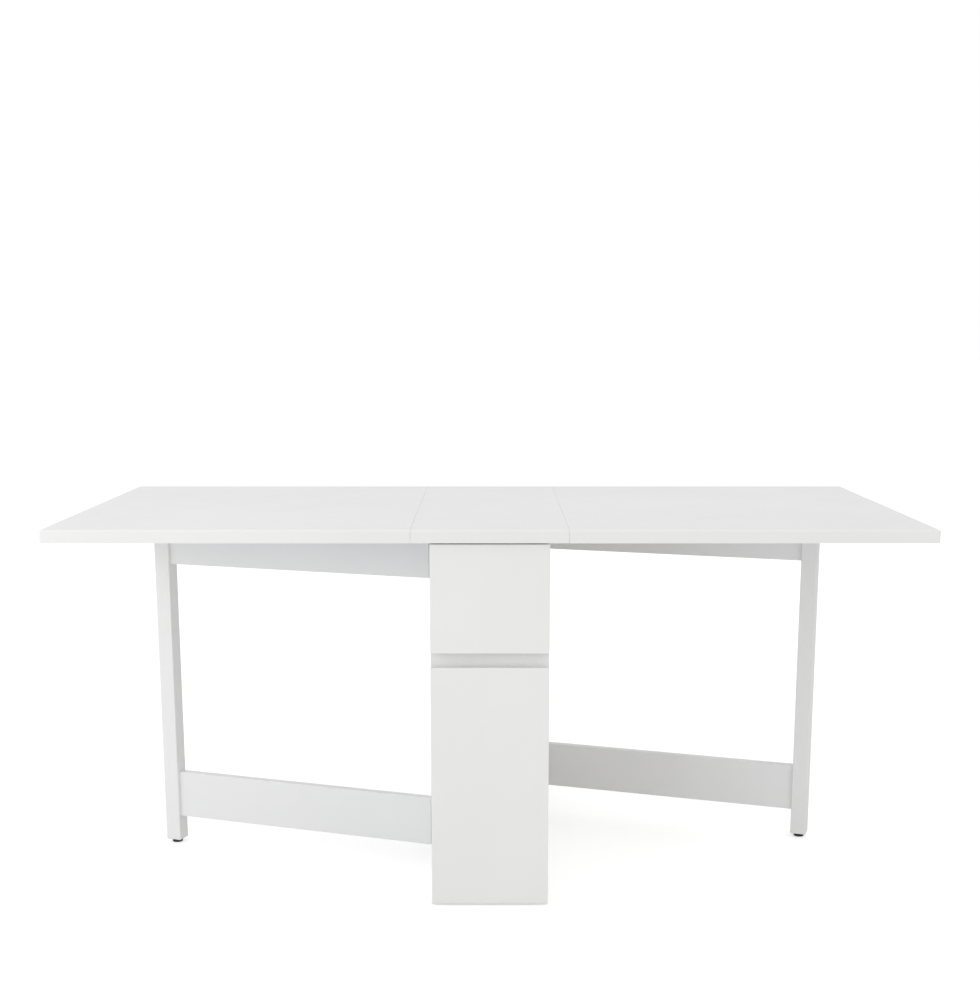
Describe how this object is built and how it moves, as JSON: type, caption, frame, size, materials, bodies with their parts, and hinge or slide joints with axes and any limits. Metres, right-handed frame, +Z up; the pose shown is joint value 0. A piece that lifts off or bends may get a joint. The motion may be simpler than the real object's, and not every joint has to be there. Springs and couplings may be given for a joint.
{
  "type": "gateleg table",
  "caption": "White gateleg dining table: narrow drawer column with a fixed top, drop leaves on both sides and swinging gates that hold the leaves up.",
  "frame": {"origin": "on the floor under the middle of the open table", "axes": "+X along the open table's length, to the right seen from the drawer fronts; +Y from the drawer fronts towards the back; +Z up"},
  "size_m": [1.676, 0.834, 0.74],
  "materials": {
    "white_lacquer": "satin white lacquer on board, softened edges",
    "white_foil_board": "matt white foil on chipboard",
    "beech_dowel": "plain beech",
    "white_hinge_steel": "white powder coat",
    "zinc_steel": "bright zinc plate",
    "black_foot_plastic": "moulded black",
    "glide_plastic": "moulded white"
  },
  "bodies": {
    "column": {"back_panel": "white_foil_board", "base_panel": "white_foil_board", "centre_top": "white_lacquer", "column_dowels": "beech_dowel", "column_glides": "glide_plastic", "divider_shelf": "white_foil_board", "finger_rail": "white_foil_board", "front_stretcher": "white_foil_board", "hinge_pins": "zinc_steel", "hinge_plate_screws": "zinc_steel", "left_gate_hinge_plates": "white_hinge_steel", "left_leaf_hinge_plates": "white_hinge_steel", "left_side_panel": "white_foil_board", "lower_runner_channels": "zinc_steel", "rear_stretcher": "white_foil_board", "right_gate_hinge_plates": "white_hinge_steel", "right_leaf_hinge_plates": "white_hinge_steel", "right_side_panel": "white_foil_board", "top_screws": "zinc_steel", "upper_runner_channels": "zinc_steel"},
    "left_gate": {"left_gate_dowels": "beech_dowel", "left_gate_flap_screws": "zinc_steel", "left_gate_foot": "black_foot_plastic", "left_gate_hinge_flaps": "white_hinge_steel", "left_gate_lower_rail": "white_lacquer", "left_gate_post": "white_lacquer", "left_gate_upper_rail": "white_lacquer"},
    "right_gate": {"right_gate_dowels": "beech_dowel", "right_gate_flap_screws": "zinc_steel", "right_gate_foot": "black_foot_plastic", "right_gate_hinge_flaps": "white_hinge_steel", "right_gate_lower_rail": "white_lacquer", "right_gate_post": "white_lacquer", "right_gate_upper_rail": "white_lacquer"},
    "left_leaf": {"left_gate_stop": "white_lacquer", "left_leaf": "white_lacquer", "left_leaf_flap_screws": "zinc_steel", "left_leaf_hinge_flaps": "white_hinge_steel"},
    "right_leaf": {"right_gate_stop": "white_lacquer", "right_leaf": "white_lacquer", "right_leaf_flap_screws": "zinc_steel", "right_leaf_hinge_flaps": "white_hinge_steel"},
    "upper_drawer": {"upper_drawer_back": "white_foil_board", "upper_drawer_bottom": "white_foil_board", "upper_drawer_front": "white_lacquer", "upper_drawer_inner_front": "white_foil_board", "upper_drawer_left_side": "white_foil_board", "upper_drawer_right_side": "white_foil_board", "upper_drawer_screws": "zinc_steel", "upper_runner_slides": "zinc_steel"},
    "lower_drawer": {"lower_drawer_back": "white_foil_board", "lower_drawer_bottom": "white_foil_board", "lower_drawer_front": "white_lacquer", "lower_drawer_inner_front": "white_foil_board", "lower_drawer_left_side": "white_foil_board", "lower_drawer_right_side": "white_foil_board", "lower_drawer_screws": "zinc_steel", "lower_runner_slides": "zinc_steel"}
  },
  "joints": [
    {"name": "left_gate_swing", "type": "hinge", "parent": "column", "child": "left_gate", "pos_m": [-0.118, -0.203, 0.35], "axis": [0, 0, -1], "range_deg": [0, 70.8]},
    {"name": "right_gate_swing", "type": "hinge", "parent": "column", "child": "right_gate", "pos_m": [0.118, 0.203, 0.35], "axis": [0, 0, -1], "range_deg": [0, 70.8]},
    {"name": "left_leaf_lift", "type": "hinge", "parent": "column", "child": "left_leaf", "pos_m": [-0.14815, 0, 0.7117], "axis": [0, 1, 0], "range_deg": [0, 0.4]},
    {"name": "right_leaf_lift", "type": "hinge", "parent": "column", "child": "right_leaf", "pos_m": [0.14815, 0, 0.7117], "axis": [0, -1, 0], "range_deg": [0, 0.4]},
    {"name": "upper_drawer_slide", "type": "slide", "parent": "column", "child": "upper_drawer", "axis": [0, -1, 0], "range_m": [0, 0.4]},
    {"name": "lower_drawer_slide", "type": "slide", "parent": "column", "child": "lower_drawer", "axis": [0, -1, 0], "range_m": [0, 0.4]}
  ]
}
